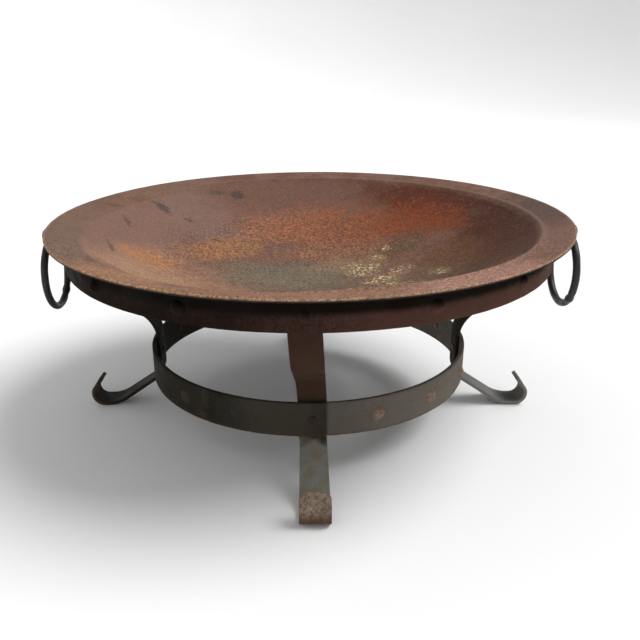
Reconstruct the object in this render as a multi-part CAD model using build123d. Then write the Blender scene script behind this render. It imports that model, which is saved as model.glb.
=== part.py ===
from build123d import *

import os
from math import asin, atan2, cos, degrees, hypot, radians, sin, sqrt

# Fire pit: a shallow iron bowl with a wide flange, resting loose in a riveted stand. The stand
# is an upper hoop, a lower ring and four scrolled legs; two ring handles hang from eyes on the hoop.
# Millimetres. +Z is up, the bowl's axis is Z, and the ground is z = 0 under the middle of the bowl.
# The front leg stands at -Y, and the handles hang at -X (left) and +X (right).

# ---- overall sizes ----
RIM_RADIUS = 400.0  # outer edge of the bowl's flange
RIM_HEIGHT = 324.0  # top of the rim above the ground

# ---- bowl ----
BOWL_WALL = 4.5
BOWL_DEPTH = 112.0  # from the rim's top to the inside of the bottom
RIM_LAND = 6.0  # level band at the rim's outer edge
FLANGE_WIDTH = 47.0  # from the rim's outer edge in to the lip
FLANGE_FALL = 8.0  # the flange falls this much from the land to the lip
LIP_RADIUS = 12.0  # rounding where the flange turns down into the dish

# ---- upper hoop and lower ring, both bent from flat bar ----
FLANGE_OVERHANG = 27.5  # how far the flange stands out past the hoop
HOOP_WIDTH = 41.0
HOOP_THICKNESS = 6.0
RING_RADIUS = 256.5  # outer face
RING_WIDTH = 52.0
RING_THICKNESS = 6.0
RING_BOTTOM = 72.5  # height of the ring's lower edge above the ground
BOWL_SEAT_GAP = 0.3  # between the flange's underside and the hoop's inner top edge

# ---- legs: one flat bar each, bent down, in, down again and out to a scrolled foot ----
LEG_THICKNESS = 6.0
LEG_TOP_WIDTH = 41.5
LEG_RING_WIDTH = 40.5
LEG_SHIN_WIDTH = 39.0
LEG_FOOT_WIDTH = 42.5
LEG_SHIN_DROP = 10.0  # the leg is narrowest this far below the ring
LEG_TOP_GAP = 4.0  # from the hoop's upper edge down to the end of the leg
LEG_STRAIGHT_DROP = 18.5  # straight part below the hoop, before the first bend
LEG_KNEE_DROP = 2.0  # the leg is upright again this far below the ring's upper edge
LEG_FLATTEST = 75.0  # degrees from vertical, the most that the leg may slope on its way in
LEG_UPPER_BEND = 49.0  # centreline radii of the bends
LEG_LOWER_BEND = 55.0
FOOT_BEND = 28.5
FOOT_SPLAY = 56.0  # degrees from vertical on the way out to the foot
FOOT_SWEEP = 62.0  # long bend that brings the foot level
FOOT_FLAT = 4.0  # level part that stands on the ground
FOOT_CURL = 18.0
FOOT_CURL_ANGLE = 128.0
FOOT_TIP = 18.0  # straight end after the curl
FOOT_TIP_ROUNDING = 9.0
RING_EDGE_GAP = 0.5  # the leg leaves the ring this far below its lower edge

# Each leg: name, turn about Z, then how far it sits to one side at the hoop, the ring and the foot.
LEGS = (
    ("leg_front", -90.0, (-2.5, 6.5, 9.5)),
    ("leg_right", 0.0, (0.0, 0.0, 0.0)),
    ("leg_rear", 90.0, (0.0, 0.0, 0.0)),
    ("leg_left", 180.0, (0.0, 0.0, 0.0)),
)
EYE_TURNS = (("right", 0.0), ("left", 180.0))

# ---- rivets ----
LEG_RIVET_HEAD = 7.0  # radii
LEG_RIVET_SHANK = 3.5
LEG_RIVET_RISE = 4.5
DOME_RIVET_HEAD = 10.5
DOME_RIVET_SHANK = 4.0
DOME_RIVET_RISE = 6.5
RIVET_HOLE_GAP = 0.1  # radial, between a shank and its hole
TAIL_OVER_SHANK = 2.0  # the hammered tail is this much larger in radius than its shank
TAIL_RISE = 2.5
HOOP_DOME_TURNS = (24.0, 47.0, 69.0)  # degrees from the front and rear legs, both ways round
RING_DOME_TURNS = (22.5, 44.5, 67.5)

# ---- handle eyes and rings ----
EYE_BAR = 3.5  # radius of the bar that the eye is bent from
EYE_HOLE = 8.5  # radius of the hole in the eye
EYE_REACH = 36.5  # from the hoop's outer face to the middle of the hole
EYE_NECK = 5.0
EYE_COLLAR = 9.0
EYE_COLLAR_THICKNESS = 3.0
EYE_SHANK = 4.5
HANDLE_ROD = 6.0  # radius of the rod
HANDLE_RADIUS = 56.0  # centreline radius of the ring
HANDLE_PLAY = 0.3  # under the rod, where it hangs in the eye
HANDLE_TURNS = {"right": -2.0, "left": 0.0}  # how each ring hangs turned about the vertical

# ---- sizes that follow from the ones above ----
HOOP_RADIUS = RIM_RADIUS - FLANGE_OVERHANG
HOOP_INNER = HOOP_RADIUS - HOOP_THICKNESS
RING_INNER = RING_RADIUS - RING_THICKNESS
LIP_START = RIM_RADIUS - FLANGE_WIDTH
FLANGE_SLOPE = FLANGE_FALL / (FLANGE_WIDTH - RIM_LAND)
FLANGE_ANGLE = atan2(FLANGE_FALL, FLANGE_WIDTH - RIM_LAND)
LAND_START = RIM_RADIUS - RIM_LAND
FLANGE_UNDER = RIM_HEIGHT - BOWL_WALL / cos(FLANGE_ANGLE)  # underside, carried out to the land
HOOP_TOP = FLANGE_UNDER - FLANGE_SLOPE * (LAND_START - HOOP_INNER) - BOWL_SEAT_GAP
HOOP_BOTTOM = HOOP_TOP - HOOP_WIDTH
HOOP_MIDDLE = HOOP_TOP - HOOP_WIDTH / 2
RING_MIDDLE = RING_BOTTOM + RING_WIDTH / 2
EYE_RADIUS = HOOP_RADIUS + EYE_REACH
EYE_BEND = EYE_HOLE + EYE_BAR  # centreline radius of the eye's loop
HANDLE_TOP = HOOP_MIDDLE - (EYE_HOLE - HANDLE_ROD - HANDLE_PLAY)  # rod centre, in the eye


def turned(shape, turn):
    """The shape, turned about the bowl's axis."""
    return Rot(0, 0, turn) * shape


def on_side(radius, height, sideways=0.0):
    """A place out along +X, looking outwards: its own z axis points away from the bowl's axis."""
    return Pos(radius, sideways, height) * Rot(0, 90, 0)


def rod_between(inner, outer, height, radius, sideways=0.0):
    """A round bar along +X, from one distance to another."""
    length = outer - inner
    return on_side(inner, height, sideways) * Cylinder(
        radius, length, align=(Align.CENTER, Align.CENTER, Align.MIN)
    )


def seat_distance(inner_radius, half_width):
    """Where a flat bar's outer face lies when its edges touch the inside of a hoop."""
    return sqrt(inner_radius**2 - half_width**2)


# ---- where each leg sits in the hoop and in the ring ----
def hoop_seat(sideways):
    return seat_distance(HOOP_INNER, LEG_TOP_WIDTH / 2 + abs(sideways))


def ring_seat(sideways):
    return seat_distance(RING_INNER, LEG_RING_WIDTH / 2 + abs(sideways))


# ---- bowl ----
def fire_bowl():
    """Revolved shell of one thickness: level land, falling flange, rounded lip, round dish."""
    tilt = FLANGE_ANGLE
    bottom = RIM_HEIGHT - BOWL_DEPTH
    lip_x = LIP_START + LIP_RADIUS * sin(tilt)
    lip_z = RIM_HEIGHT - FLANGE_FALL - LIP_RADIUS * cos(tilt)
    rise = lip_z - bottom
    dish = (lip_x**2 + rise**2 - LIP_RADIUS**2) / (2 * (rise + LIP_RADIUS))
    dish_z = bottom + dish
    steep = asin(lip_x / (dish + LIP_RADIUS))

    def flange_end(depth):
        return (lip_x - (LIP_RADIUS - depth) * sin(tilt), lip_z + (LIP_RADIUS - depth) * cos(tilt))

    def lip_point(depth, angle):
        return (lip_x - (LIP_RADIUS - depth) * sin(angle), lip_z + (LIP_RADIUS - depth) * cos(angle))

    def dish_arc(depth):
        foot = (0, bottom - depth)
        middle = (
            (dish + depth) * sin(steep / 2),
            dish_z - (dish + depth) * cos(steep / 2),
        )
        return ThreePointArc(foot, middle, lip_point(depth, steep))

    def lip_arc(depth):
        return ThreePointArc(
            lip_point(depth, steep), lip_point(depth, (steep + tilt) / 2), flange_end(depth)
        )

    land_under = (LAND_START, FLANGE_UNDER)
    outline = [
        dish_arc(0),
        lip_arc(0),
        Polyline(
            flange_end(0),
            (LAND_START, RIM_HEIGHT),
            (RIM_RADIUS, RIM_HEIGHT),
            (RIM_RADIUS, FLANGE_UNDER),
            land_under,
            flange_end(BOWL_WALL),
        ),
        lip_arc(BOWL_WALL),
        dish_arc(BOWL_WALL),
        Line((0, bottom - BOWL_WALL), (0, bottom)),
    ]
    profile = Plane.XZ * make_face([edge for curve in outline for edge in curve.edges()])
    return revolve(profile, Axis.Z, 360)


# ---- rivets and eyes ----
def rivet(seat, inner, height, head, rise, shank, sideways=0.0):
    """Domed head on the outer face, shank through the bars, tail hammered over inside."""
    ball = (head**2 + rise**2) / (2 * rise)
    halfway = asin(head / ball) / 2
    tail = shank + TAIL_OVER_SHANK
    profile = [
        Polyline(
            (0, inner - TAIL_RISE),
            (shank, inner - TAIL_RISE),
            (tail, inner),
            (shank, inner),
            (shank, seat),
            (head, seat),
        ),
        ThreePointArc(
            (head, seat),
            (ball * sin(halfway), seat + rise - ball * (1 - cos(halfway))),
            (0, seat + rise),
        ),
        Line((0, seat + rise), (0, inner - TAIL_RISE)),
    ]
    face = Plane.XZ * make_face([edge for curve in profile for edge in curve.edges()])
    return on_side(0, height, sideways) * revolve(face, Axis.Z, 360)


def leg_rivet(seat, inner, height, sideways):
    return rivet(
        seat, inner, height, LEG_RIVET_HEAD, LEG_RIVET_RISE, LEG_RIVET_SHANK, sideways
    )


def dome_rivet(seat, inner, height):
    return rivet(seat, inner, height, DOME_RIVET_HEAD, DOME_RIVET_RISE, DOME_RIVET_SHANK)


def dome_turns(turns):
    """Both ways round from the front leg and from the rear leg."""
    return [base + side * turn for base in (-90.0, 90.0) for side in (-1, 1) for turn in turns]


def handle_eye():
    """Loop, neck, collar on the hoop's face, shank through hoop and leg, and tail inside."""
    loop = Pos(EYE_RADIUS, 0, HOOP_MIDDLE) * Rot(90, 0, 0) * Torus(EYE_BEND, EYE_BAR)
    neck = rod_between(HOOP_RADIUS, EYE_RADIUS - EYE_BEND, HOOP_MIDDLE, EYE_NECK)
    collar = rod_between(
        HOOP_RADIUS, HOOP_RADIUS + EYE_COLLAR_THICKNESS, HOOP_MIDDLE, EYE_COLLAR
    )
    inner = hoop_seat(0) - LEG_THICKNESS
    shank = rod_between(inner, HOOP_RADIUS, HOOP_MIDDLE, EYE_SHANK)
    tail = on_side(inner - TAIL_RISE, HOOP_MIDDLE) * Cone(
        EYE_SHANK,
        EYE_SHANK + TAIL_OVER_SHANK,
        TAIL_RISE,
        align=(Align.CENTER, Align.CENTER, Align.MIN),
    )
    return loop + neck + collar + shank + tail


def handle_ring(turn):
    """Round rod ring that hangs in its eye, turned a little about the vertical."""
    upright = Rot(0, 90, 0) * Torus(HANDLE_RADIUS, HANDLE_ROD)
    return Pos(EYE_RADIUS, 0, HANDLE_TOP - HANDLE_RADIUS) * Rot(0, 0, -turn) * upright


# ---- hoop and ring ----
def flat_hoop(outer, inner, bottom, width):
    at = (Align.CENTER, Align.CENTER, Align.MIN)
    return Pos(0, 0, bottom) * (Cylinder(outer, width, align=at) - Cylinder(inner, width, align=at))


def hole(inner, outer, height, shank, turn, sideways=0.0):
    return turned(rod_between(inner, outer, height, shank + RIVET_HOLE_GAP, sideways), turn)


def has_eye(turn):
    return turn in [eye_turn for _, eye_turn in EYE_TURNS]


def upper_hoop():
    hoop = flat_hoop(HOOP_RADIUS, HOOP_INNER, HOOP_BOTTOM, HOOP_WIDTH)
    near = HOOP_INNER - HOOP_THICKNESS
    far = HOOP_RADIUS + HOOP_THICKNESS
    for _, turn, (sideways, _, _) in LEGS:
        shank = EYE_SHANK if has_eye(turn) else LEG_RIVET_SHANK
        hoop -= hole(near, far, HOOP_MIDDLE, shank, turn, sideways)
    for turn in dome_turns(HOOP_DOME_TURNS):
        hoop -= hole(near, far, HOOP_MIDDLE, DOME_RIVET_SHANK, turn)
    return hoop


def lower_ring():
    ring = flat_hoop(RING_RADIUS, RING_INNER, RING_BOTTOM, RING_WIDTH)
    near = RING_INNER - RING_THICKNESS
    far = RING_RADIUS + RING_THICKNESS
    for _, turn, (_, sideways, _) in LEGS:
        ring -= hole(near, far, RING_MIDDLE, LEG_RIVET_SHANK, turn, sideways)
    for turn in dome_turns(RING_DOME_TURNS):
        ring -= hole(near, far, RING_MIDDLE, DOME_RIVET_SHANK, turn)
    return ring


# ---- legs ----
def inward_run(across, down):
    """Slope, straight length and bend scale of the stretch that steps in from hoop to ring.

    Two opposite bends are joined by their common tangent. Where the step is too shallow for the
    bends, both are made smaller, so that the leg is no flatter than its limit.
    """
    both = LEG_UPPER_BEND + LEG_LOWER_BEND
    flattest = radians(LEG_FLATTEST)
    room = (down * sin(flattest) - across * cos(flattest)) / (1 - cos(flattest))
    scale = min(1.0, room / both)
    both *= scale
    slope = atan2(across - both, down) + asin(both / hypot(across - both, down))
    length = (across - both * (1 - cos(slope))) / sin(slope)
    return degrees(slope), length, scale


def leg_path(top_x, ring_x):
    """Centreline in the plane of x and height, from the end inside the hoop to the foot's tip."""
    half = LEG_THICKNESS / 2
    start = top_x - half
    shin = ring_x - half
    first_bend = HOOP_BOTTOM - LEG_STRAIGHT_DROP
    knee = RING_BOTTOM + RING_WIDTH - LEG_KNEE_DROP
    slope, run_in, scale = inward_run(start - shin, first_bend - knee)
    shin_end = RING_BOTTOM - RING_EDGE_GAP
    foot_fall = FOOT_BEND * sin(radians(FOOT_SPLAY)) + FOOT_SWEEP * (1 - sin(radians(FOOT_SPLAY)))
    run_out = (shin_end - half - foot_fall) / cos(radians(FOOT_SPLAY))

    drop = Line((start, HOOP_TOP - LEG_TOP_GAP), (start, first_bend))
    upper = JernArc(drop @ 1, drop % 1, LEG_UPPER_BEND * scale, -slope)
    inward = Line(upper @ 1, upper @ 1 + (upper % 1) * run_in)
    lower = JernArc(inward @ 1, inward % 1, LEG_LOWER_BEND * scale, slope)
    shank = Line(lower @ 1, (shin, shin_end))
    bend = JernArc(shank @ 1, shank % 1, FOOT_BEND, FOOT_SPLAY)
    outward = Line(bend @ 1, bend @ 1 + (bend % 1) * run_out)
    sweep_arc = JernArc(outward @ 1, outward % 1, FOOT_SWEEP, 90 - FOOT_SPLAY)
    flat = Line(sweep_arc @ 1, sweep_arc @ 1 + Vector(FOOT_FLAT, 0))
    curl = JernArc(flat @ 1, flat % 1, FOOT_CURL, FOOT_CURL_ANGLE)
    tip = Line(curl @ 1, curl @ 1 + (curl % 1) * FOOT_TIP)
    parts = (drop, upper, inward, lower, shank, bend, outward, sweep_arc, flat, curl, tip)
    return Plane.XZ * Wire([curve.edge() for curve in parts])


def leg_outline(at_hoop, at_ring, at_foot):
    """The leg seen from outside: it widens to the hoop and to the foot, and may lean sideways."""
    ring_top = RING_BOTTOM + RING_WIDTH
    shin = RING_BOTTOM - LEG_SHIN_DROP
    reach = 2 * RIM_RADIUS  # well past the tip of the foot
    stations = (
        (HOOP_TOP, at_hoop, LEG_TOP_WIDTH),
        (HOOP_BOTTOM, at_hoop, LEG_TOP_WIDTH),
        (ring_top, at_ring, LEG_RING_WIDTH),
        (RING_BOTTOM, at_ring, LEG_RING_WIDTH),
        (shin, (at_ring + at_foot) / 2, LEG_SHIN_WIDTH),
        (LEG_THICKNESS, at_foot, LEG_FOOT_WIDTH),
        (-LEG_THICKNESS, at_foot, LEG_FOOT_WIDTH),
    )
    one_side = [(middle + width / 2, height) for height, middle, width in stations]
    other_side = [(middle - width / 2, height) for height, middle, width in reversed(stations)]
    face = Plane.YZ * make_face(Polyline(*one_side, *other_side, close=True))
    return extrude(face, reach)


def leg(turn, shifts):
    at_hoop, at_ring, at_foot = shifts
    path = leg_path(hoop_seat(at_hoop), ring_seat(at_ring))
    widest = LEG_TOP_WIDTH + LEG_FOOT_WIDTH
    start = Plane(origin=path @ 0, x_dir=(1, 0, 0), z_dir=path % 0)
    bar = sweep(start * Rectangle(LEG_THICKNESS, widest), path=path)
    bar = bar & leg_outline(at_hoop, at_ring, at_foot)
    tip_face = bar.faces().sort_by(lambda face: (face.center() - path @ 1).length)[0]
    bar = fillet(tip_face.edges().sort_by(Edge.length)[:2], FOOT_TIP_ROUNDING)
    shank = EYE_SHANK if has_eye(turn) else LEG_RIVET_SHANK
    at_hoop_face = hoop_seat(at_hoop) - 2 * LEG_THICKNESS
    at_ring_face = ring_seat(at_ring) - 2 * LEG_THICKNESS
    bar -= hole(at_hoop_face, HOOP_RADIUS, HOOP_MIDDLE, shank, 0, at_hoop)
    bar -= hole(at_ring_face, RING_RADIUS, RING_MIDDLE, LEG_RIVET_SHANK, 0, at_ring)
    return turned(bar, turn)


# ---- groups of rivets ----
def hoop_leg_rivets():
    return [
        turned(
            leg_rivet(HOOP_RADIUS, hoop_seat(sideways) - LEG_THICKNESS, HOOP_MIDDLE, sideways), turn
        )
        for _, turn, (sideways, _, _) in LEGS
        if not has_eye(turn)
    ]


def ring_leg_rivets():
    return [
        turned(
            leg_rivet(RING_RADIUS, ring_seat(sideways) - LEG_THICKNESS, RING_MIDDLE, sideways), turn
        )
        for _, turn, (_, sideways, _) in LEGS
    ]


def tail_radius():
    return DOME_RIVET_SHANK + TAIL_OVER_SHANK


def hoop_dome_rivets():
    one = dome_rivet(HOOP_RADIUS, seat_distance(HOOP_INNER, tail_radius()), HOOP_MIDDLE)
    return [turned(one, turn) for turn in dome_turns(HOOP_DOME_TURNS)]


def ring_dome_rivets():
    one = dome_rivet(RING_RADIUS, seat_distance(RING_INNER, tail_radius()), RING_MIDDLE)
    return [turned(one, turn) for turn in dome_turns(RING_DOME_TURNS)]


def all_nodes():
    nodes = {
        "fire_bowl": [fire_bowl()],
        "upper_hoop": [upper_hoop()],
        "lower_ring": [lower_ring()],
    }
    for name, turn, shifts in LEGS:
        nodes[name] = [leg(turn, shifts)]
    for side, turn in EYE_TURNS:
        nodes["handle_eye_" + side] = [turned(handle_eye(), turn)]
        nodes["handle_ring_" + side] = [turned(handle_ring(HANDLE_TURNS[side]), turn)]
    nodes["hoop_leg_rivets"] = hoop_leg_rivets()
    nodes["ring_leg_rivets"] = ring_leg_rivets()
    nodes["hoop_dome_rivets"] = hoop_dome_rivets()
    nodes["ring_dome_rivets"] = ring_dome_rivets()
    return nodes


os.makedirs("parts", exist_ok=True)
for node, shapes in all_nodes().items():
    solids = [solid for shape in shapes for solid in shape.solids()]
    whole = solids[0] if len(solids) == 1 else Compound(children=solids)
    whole.label = node
    export_step(whole, os.path.join("parts", node + ".step"))
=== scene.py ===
import math
import random

import bmesh
import bpy
from mathutils import Euler, Matrix, Vector, noise


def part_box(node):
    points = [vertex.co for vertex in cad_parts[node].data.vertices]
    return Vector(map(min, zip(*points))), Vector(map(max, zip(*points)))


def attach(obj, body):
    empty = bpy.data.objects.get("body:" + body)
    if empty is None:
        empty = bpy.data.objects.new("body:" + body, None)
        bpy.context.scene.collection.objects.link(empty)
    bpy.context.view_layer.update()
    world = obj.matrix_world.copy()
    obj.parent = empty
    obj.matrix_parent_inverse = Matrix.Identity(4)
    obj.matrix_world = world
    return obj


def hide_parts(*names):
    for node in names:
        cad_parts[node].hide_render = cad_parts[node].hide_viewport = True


bl_info = {
    "name": "Fire Pit",
    "version": (1, 0, 0),
    "blender": (4, 5, 0),
    "location": "3D View > Sidebar > Fire Pit",
    "description": "Hand-forged iron fire pit: a loose bowl in a riveted stand with two ring handles",
    "category": "Add Mesh",
}

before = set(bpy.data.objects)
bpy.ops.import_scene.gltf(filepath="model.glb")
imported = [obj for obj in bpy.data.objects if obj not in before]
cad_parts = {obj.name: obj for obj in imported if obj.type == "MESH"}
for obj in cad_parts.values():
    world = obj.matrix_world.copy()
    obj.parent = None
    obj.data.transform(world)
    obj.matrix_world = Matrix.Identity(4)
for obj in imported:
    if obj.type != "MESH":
        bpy.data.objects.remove(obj)  # the fixed model: metres, +Z up, ground at z = 0, bowl's axis on Z

MM = 0.001
TAU = 2 * math.pi
SIDES = {"left": -1.0, "right": 1.0}
LEG_TURNS = {"front": -90.0, "right": 0.0, "rear": 90.0, "left": 180.0}
LEG_SHIFTS = {  # how far each leg sits to one side at the hoop, the ring and the foot
    "front": (-2.5 * MM, 6.5 * MM, 9.5 * MM),
    "right": (0.0, 0.0, 0.0),
    "rear": (0.0, 0.0, 0.0),
    "left": (0.0, 0.0, 0.0),
}
HOOP_DOME_TURNS = (24.0, 47.0, 69.0)  # degrees from the front and rear legs, both ways round
RING_DOME_TURNS = (22.5, 44.5, 67.5)
HANDLE_TURNS = {"left": 0.0, "right": math.radians(-2.0)}


# ---- places read from the frame ----
def low(node):
    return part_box(node)[0]


def high(node):
    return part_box(node)[1]


RIM_RADIUS = high("fire_bowl").x
RIM_TOP = high("fire_bowl").z
BOWL_UNDER = low("fire_bowl").z
HOOP_RADIUS = high("upper_hoop").x
HOOP_TOP = high("upper_hoop").z
HOOP_BOTTOM = low("upper_hoop").z
HOOP_MIDDLE = (HOOP_TOP + HOOP_BOTTOM) / 2
RING_RADIUS = high("lower_ring").x
RING_TOP = high("lower_ring").z
RING_BOTTOM = low("lower_ring").z
RING_MIDDLE = (RING_TOP + RING_BOTTOM) / 2
LEG_TOP = high("leg_right").z
HANDLE_TOP = high("handle_ring_left").z
HANDLE_BOTTOM = low("handle_ring_left").z
HANDLE_X = (high("handle_ring_left").x - low("handle_ring_left").x) / 2 + abs(high("handle_ring_left").x)
EYE_OUTER = high("handle_eye_right").x


# ---- what a user would change ----
def length(name, text, default):
    return bpy.props.FloatProperty(
        name=name, description=text, default=default, min=0.0, unit="LENGTH", precision=4
    )


def colour(name, text, default):
    return bpy.props.FloatVectorProperty(
        name=name, description=text, default=default, size=3, min=0.0, max=1.0, subtype="COLOR"
    )


class FIREPIT_PG_sizes(bpy.types.PropertyGroup):
    """Sizes of the bars, the bowl and the rivets."""

    wall: length("Bowl wall", "Thickness of the bowl", 4.5 * MM)
    land: length("Rim land", "Level band at the rim's outer edge", 6 * MM)
    flange: length("Flange width", "From the rim's edge in to the lip", 47 * MM)
    flange_fall: length("Flange fall", "How far the flange falls towards the lip", 8 * MM)
    lip: length("Lip radius", "Rounding where the flange turns down", 12 * MM)
    bead: length("Lip bead", "How far the lip's crest stands up", 3.4 * MM)
    bar: length("Bar thickness", "Thickness of hoop, ring and legs", 6 * MM)
    edge: length("Bar edge", "Rounding along the edges of the bars", 1.1 * MM)
    leg_top: length("Leg width, top", "Width of a leg at the hoop", 41.5 * MM)
    leg_ring: length("Leg width, ring", "Width of a leg at the lower ring", 40.5 * MM)
    leg_shin: length("Leg width, shin", "Width of a leg just under the ring", 39 * MM)
    leg_foot: length("Leg width, foot", "Width of a leg at the ground", 42.5 * MM)
    rod: length("Handle rod", "Radius of the handle's rod", 6 * MM)
    leg_rivet: length("Leg rivet head", "Radius of a leg rivet's head", 7 * MM)
    leg_rivet_rise: length("Leg rivet rise", "Height of a leg rivet's head", 4.5 * MM)
    dome_rivet: length("Dome rivet head", "Radius of a dome rivet's head", 10.5 * MM)
    dome_rivet_rise: length("Dome rivet rise", "Height of a dome rivet's head", 6.5 * MM)
    dent: length("Hammer dents", "Depth of the hammer dents in the bars", 0.5 * MM)
    rim_waver: length("Rim waver", "How far the rim wanders from a true circle", 2.4 * MM)


class FIREPIT_PG_colours(bpy.types.PropertyGroup):
    """Colours of the iron and its rust."""

    bowl: colour("Bowl brown", "Old rust in the dish", (0.165, 0.082, 0.052))
    mauve: colour("Bowl mauve", "Purplish scale in the dish", (0.150, 0.080, 0.060))
    scorch: colour("Scorch", "Dark scorch marks in the dish", (0.052, 0.044, 0.038))
    ash: colour("Ash", "Specks of ash", (0.80, 0.66, 0.44))
    flange: colour("Flange", "Dusty brown of the flange", (0.130, 0.064, 0.042))
    # painted shade: the dark colour given to every downward face of the bowl
    under: colour("Bowl underside", "Sooty brown under the bowl", (0.018, 0.011, 0.008))
    iron: colour("Stand iron", "Dark scale on the stand", (0.014, 0.0135, 0.009))
    stand_rust: colour("Stand rust", "Maroon rust on the stand", (0.022, 0.013, 0.009))
    stand_grey: colour("Stand grey", "Weathered grey on the stand", (0.124, 0.106, 0.088))
    foot_tan: colour("Foot tan", "Dry earth on the feet", (0.215, 0.155, 0.112))
    hoop_dark: colour("Hoop dark", "Nearly black scale on the hoop", (0.009, 0.005, 0.004))
    black: colour("Handle black", "Black iron of the handles", (0.008, 0.008, 0.007))


class FIREPIT_PG_stage(bpy.types.PropertyGroup):
    """Camera and light."""

    distance: length("Camera distance", "From the bowl's axis back to the camera", 2.8848 * RIM_RADIUS)
    rise: length("Camera rise", "Height of the camera above the rim", 0.6608 * RIM_RADIUS)
    pitch: bpy.props.FloatProperty(
        name="Pitch", description="How far the camera looks down", default=0.3952, subtype="ANGLE"
    )
    yaw: bpy.props.FloatProperty(
        name="Yaw", description="How far the camera turns to the right", default=-0.0362, subtype="ANGLE"
    )
    roll: bpy.props.FloatProperty(
        name="Roll", description="How far the camera leans", default=-0.0183, subtype="ANGLE"
    )
    lens: bpy.props.FloatProperty(
        name="Lens", description="Focal length on a 36 mm sensor", default=41.76, unit="CAMERA"
    )
    shift: bpy.props.FloatVectorProperty(
        name="Shift", description="How far the view is slid", default=(0.0589, 0.0358), size=2
    )
    sky: bpy.props.FloatProperty(name="Sky", description="Strength of the sky", default=0.50)
    key: bpy.props.FloatProperty(name="Key light", description="Strength of the main light", default=2.5)
    floor: colour("Floor", "Colour of the pale floor", (0.90, 0.90, 0.90))


# ---- hand work: smooth unevenness that repeats each run ----
def ripple(point, scale, seed=0.0):
    """Smooth noise between -1 and 1 at a place, features about scale metres across."""
    return noise.noise(Vector(point) / scale + Vector((seed, seed * 1.7, -seed)))


def dents(point, scale, seed=0.0):
    """Shallow overlapping hammer marks between 0 and 1: deepest in the middle of each mark."""
    nearest = noise.voronoi(Vector(point) / scale + Vector((seed, -seed, seed * 0.6)))[0][0]
    return max(0.0, 1.0 - 1.25 * nearest) ** 1.5


def smoothstep(value, start, end):
    share = min(1.0, max(0.0, (value - start) / (end - start)))
    return share * share * (3 - 2 * share)


def wandering(angle, seed, waves=(2, 3, 5, 7, 11)):
    """Smooth closed wave round a circle, between about -1 and 1."""
    maker = random.Random(seed)
    total = 0.0
    for count in waves:
        total += maker.uniform(0.5, 1.0) / count * math.cos(count * angle + maker.uniform(0, TAU))
    return total / sum(1 / count for count in waves)


# ---- mesh tools ----
def add_object(name, mesh, material, smooth=True):
    for polygon in mesh.polygons:
        polygon.use_smooth = smooth
    made = bpy.data.objects.new(name, mesh)
    bpy.context.scene.collection.objects.link(made)
    made.data.materials.append(material)
    return made


def grid(bm, rows, close_rows=False, close_columns=False):
    """Quads between rows of points. Closing joins the last row or column to the first."""
    verts = [[bm.verts.new(point) for point in row] for row in rows]
    row_count, column_count = len(verts), len(verts[0])
    for r in range(row_count if close_rows else row_count - 1):
        upper, lower = verts[r], verts[(r + 1) % row_count]
        for c in range(column_count if close_columns else column_count - 1):
            after = (c + 1) % column_count
            bm.faces.new((upper[c], upper[after], lower[after], lower[c]))
    return verts


def fan(bm, ring, centre, flip=False):
    """Closes a ring of vertices with triangles to a centre point."""
    middle = bm.verts.new(centre)
    count = len(ring)
    for i in range(count):
        pair = (ring[i], ring[(i + 1) % count])
        bm.faces.new((pair[1], pair[0], middle) if flip else (pair[0], pair[1], middle))


def finished(bm, name):
    bmesh.ops.recalc_face_normals(bm, faces=bm.faces)
    mesh = bpy.data.meshes.new(name)
    bm.to_mesh(mesh)
    bm.free()
    return mesh


def lathe(bm, profile, place, steps, uneven=None):
    """Turned shape: profile pairs (radius, height) about the place's own z axis; ends on the axis."""
    rows = []
    for radius, height in profile[1:-1]:
        row = []
        for i in range(steps):
            angle = TAU * i / steps
            point = Vector((radius * math.cos(angle), radius * math.sin(angle), height))
            row.append(place @ (uneven(point) if uneven else point))
        rows.append(row)
    verts = grid(bm, rows, close_columns=True)
    fan(bm, verts[0], place @ Vector((0, 0, profile[0][1])))
    fan(bm, verts[-1], place @ Vector((0, 0, profile[-1][1])), flip=True)


def rounded_bar(width, thickness, edge, flat_steps, side_steps=2, corner_steps=3):
    """Section of a flat bar: points (across, out) round it, out from 0 at the inner face."""
    points = []
    corners = (
        (width / 2 - edge, thickness - edge, 0.0),
        (-width / 2 + edge, thickness - edge, 90.0),
        (-width / 2 + edge, edge, 180.0),
        (width / 2 - edge, edge, 270.0),
    )
    for i, (x, y, start) in enumerate(corners):
        for k in range(corner_steps + 1):
            angle = math.radians(start + 90 * k / corner_steps)
            points.append((x + edge * math.cos(angle), y + edge * math.sin(angle)))
        x2, y2, start2 = corners[(i + 1) % 4]
        end = (x2 + edge * math.cos(math.radians(start2)), y2 + edge * math.sin(math.radians(start2)))
        last = points[-1]
        steps = flat_steps if i % 2 == 0 else side_steps
        for k in range(1, steps):
            share = k / steps
            points.append((last[0] + (end[0] - last[0]) * share, last[1] + (end[1] - last[1]) * share))
    return points


def outward_place(turn, radius, height, sideways=0.0):
    """A place whose own z axis points straight out from the bowl's axis."""
    about = Matrix.Rotation(math.radians(turn), 4, "Z")
    facing = Matrix.Rotation(math.radians(90), 4, "Y")
    return about @ Matrix.Translation((radius, sideways, height)) @ facing


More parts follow.
